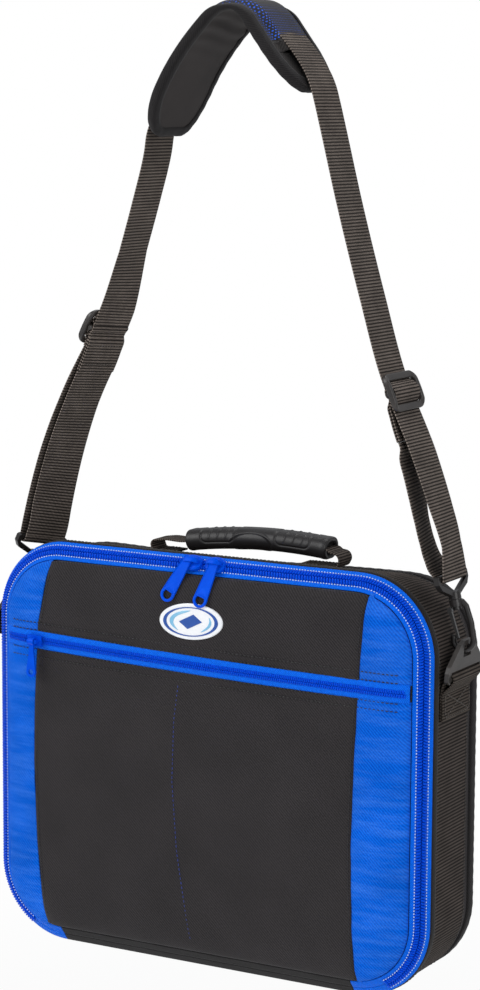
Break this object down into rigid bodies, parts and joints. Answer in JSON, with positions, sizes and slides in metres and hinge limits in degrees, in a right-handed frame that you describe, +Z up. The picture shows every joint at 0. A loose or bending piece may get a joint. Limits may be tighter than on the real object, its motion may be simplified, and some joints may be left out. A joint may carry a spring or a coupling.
{
  "type": "soft carry case with shoulder strap",
  "caption": "Padded zip-round soft carry case with a carrying handle, a zipped front pocket and a clip-on shoulder strap with a shoulder pad.",
  "frame": {"origin": "underside of the shoulder pad at the top of its arch, where the strap is hung over a peg or held by a hand", "axes": "+Z up, +X to the right as seen from the front, the zipped front of the case towards -Y; the case hangs below the origin"},
  "size_m": [0.3907, 0.1008, 0.698],
  "materials": {
    "black_cloth": "matte",
    "blue_cloth": "matte",
    "foam": "matte",
    "lining_cloth": "matte",
    "webbing": "matte",
    "binding": "matte",
    "zip_tape": "matte",
    "zip_coil": "satin",
    "blue_enamel": "gloss",
    "black_plastic": "satin",
    "grip_rubber": "satin",
    "pad_mesh": "matte",
    "pad_smooth": "matte",
    "badge_plastic": "gloss"
  },
  "bodies": {
    "strap": {"pad_foam": "foam", "pad_cover": "pad_mesh", "pad_underside": "pad_smooth", "pad_binding": "binding", "pad_end_left": "binding", "pad_end_right": "binding", "strap_webbing": "webbing", "strap_return_left": "webbing", "strap_return_right": "webbing", "hook_eye_left": "black_plastic", "hook_eye_right": "black_plastic"},
    "left_adjuster": {"adjuster_left": "black_plastic", "sewn_loop_left": "webbing"},
    "right_adjuster": {"adjuster_right": "black_plastic", "sewn_loop_right": "webbing"},
    "left_hook": {"snap_hook_left": "black_plastic"},
    "right_hook": {"snap_hook_right": "black_plastic"},
    "left_gate": {"hook_gate_left": "black_plastic"},
    "right_gate": {"hook_gate_right": "black_plastic"},
    "case": {"gusset_shell": "black_cloth", "gusset_foam": "foam", "gusset_lining": "lining_cloth", "gusset_band": "webbing", "front_binding": "binding", "rear_binding": "binding", "back_panel": "black_cloth", "back_foam": "foam", "back_lining": "lining_cloth", "zip_tape_case": "zip_tape", "zip_chain_case": "zip_coil", "hinge_cloth_case": "binding", "ring_loop_left": "webbing", "ring_loop_right": "webbing", "handle_tab_left": "webbing", "handle_tab_right": "webbing"},
    "left_ring": {"side_ring_left": "black_plastic"},
    "right_ring": {"side_ring_right": "black_plastic"},
    "handle": {"handle_webbing": "webbing", "handle_grip": "grip_rubber"},
    "lid": {"lid_foam": "foam", "lid_lining": "lining_cloth", "upper_panel": "black_cloth", "upper_side_left": "blue_cloth", "upper_side_right": "blue_cloth", "pocket_panel": "black_cloth", "pocket_side_left": "blue_cloth", "pocket_side_right": "blue_cloth", "pocket_zip_tape": "zip_tape", "pocket_zip_chain": "zip_coil", "badge": "badge_plastic", "zip_tape_lid": "zip_tape", "zip_chain_lid": "zip_coil", "hinge_cloth_lid": "binding"},
    "left_slider": {"zip_slider_left": "blue_enamel"},
    "right_slider": {"zip_slider_right": "blue_enamel"},
    "left_puller": {"zip_puller_left": "blue_enamel"},
    "right_puller": {"zip_puller_right": "blue_enamel"},
    "pocket_slider": {"pocket_slider": "blue_enamel"},
    "pocket_puller": {"pocket_puller": "blue_enamel"}
  },
  "joints": [
    {"name": "bag_swing", "type": "hinge", "parent": "strap", "child": "case", "pos_m": [-0.015, 0, -0.4359], "axis": [1, 0, 0], "range_deg": [-10, 10]},
    {"name": "left_hook_swivel", "type": "hinge", "parent": "strap", "child": "left_hook", "pos_m": [-0.19015, 0.00173, -0.4061], "axis": [-0.422, -0.0523, -0.9051], "range_deg": [-12, 12]},
    {"name": "right_hook_swivel", "type": "hinge", "parent": "strap", "child": "right_hook", "pos_m": [0.16506, 0, -0.40379], "axis": [-0.2351, 0, 0.972], "range_deg": [-12, 12]},
    {"name": "left_gate_hinge", "type": "hinge", "parent": "left_hook", "child": "left_gate", "pos_m": [-0.18756, 0.00021, -0.41197], "axis": [0.2132, 0.9646, -0.1552], "range_deg": [0, 10], "stiffness_Nm_per_rad": 0.02},
    {"name": "right_gate_hinge", "type": "hinge", "parent": "right_hook", "child": "right_gate", "pos_m": [0.16137, -0.00129, -0.40911], "axis": [0.2516, -0.9659, 0.0609], "range_deg": [0, 10], "stiffness_Nm_per_rad": 0.02},
    {"name": "left_adjuster_slide", "type": "slide", "parent": "strap", "child": "left_adjuster", "axis": [-0.4718, 0, -0.8817], "range_m": [0, 0.03], "deforming": ["strap_return_left"]},
    {"name": "right_adjuster_slide", "type": "slide", "parent": "strap", "child": "right_adjuster", "axis": [0.3987, 0, -0.9171], "range_m": [0, 0.03], "deforming": ["strap_return_right"]},
    {"name": "left_ring_tilt", "type": "hinge", "parent": "case", "child": "left_ring", "pos_m": [-0.2065, 0, -0.4532], "axis": [0, 1, 0], "range_deg": [0, 3]},
    {"name": "right_ring_tilt", "type": "hinge", "parent": "case", "child": "right_ring", "pos_m": [0.1713, 0, -0.4532], "axis": [0, -1, 0], "range_deg": [0, 3]},
    {"name": "handle_tilt", "type": "hinge", "parent": "case", "child": "handle", "pos_m": [-0.006, 0.01, -0.379], "axis": [0.9998, 0, 0.0189], "range_deg": [-12, 12]},
    {"name": "lid_hinge", "type": "hinge", "parent": "case", "child": "lid", "pos_m": [-0.015, -0.037, -0.6802], "axis": [1, 0, 0], "range_deg": [0, 170]},
    {"name": "left_slider_slide", "type": "slide", "parent": "lid", "child": "left_slider", "axis": [-1, 0, 0], "range_m": [0, 0.1]},
    {"name": "right_slider_slide", "type": "slide", "parent": "lid", "child": "right_slider", "axis": [1, 0, 0], "range_m": [0, 0.1]},
    {"name": "left_puller_swing", "type": "hinge", "parent": "left_slider", "child": "left_puller", "pos_m": [-0.0245, -0.04318, -0.38344], "axis": [-1, 0, 0], "range_deg": [0, 148]},
    {"name": "right_puller_swing", "type": "hinge", "parent": "right_slider", "child": "right_puller", "pos_m": [-0.0055, -0.04318, -0.38344], "axis": [-1, 0, 0], "range_deg": [0, 148]},
    {"name": "pocket_slider_slide", "type": "slide", "parent": "lid", "child": "pocket_slider", "axis": [0.9997, 0, -0.0244], "range_m": [0, 0.27]},
    {"name": "pocket_puller_swing", "type": "hinge", "parent": "pocket_slider", "child": "pocket_puller", "pos_m": [-0.15196, -0.0561, -0.45435], "axis": [-0.9997, 0, 0.0244], "range_deg": [0, 150]}
  ]
}
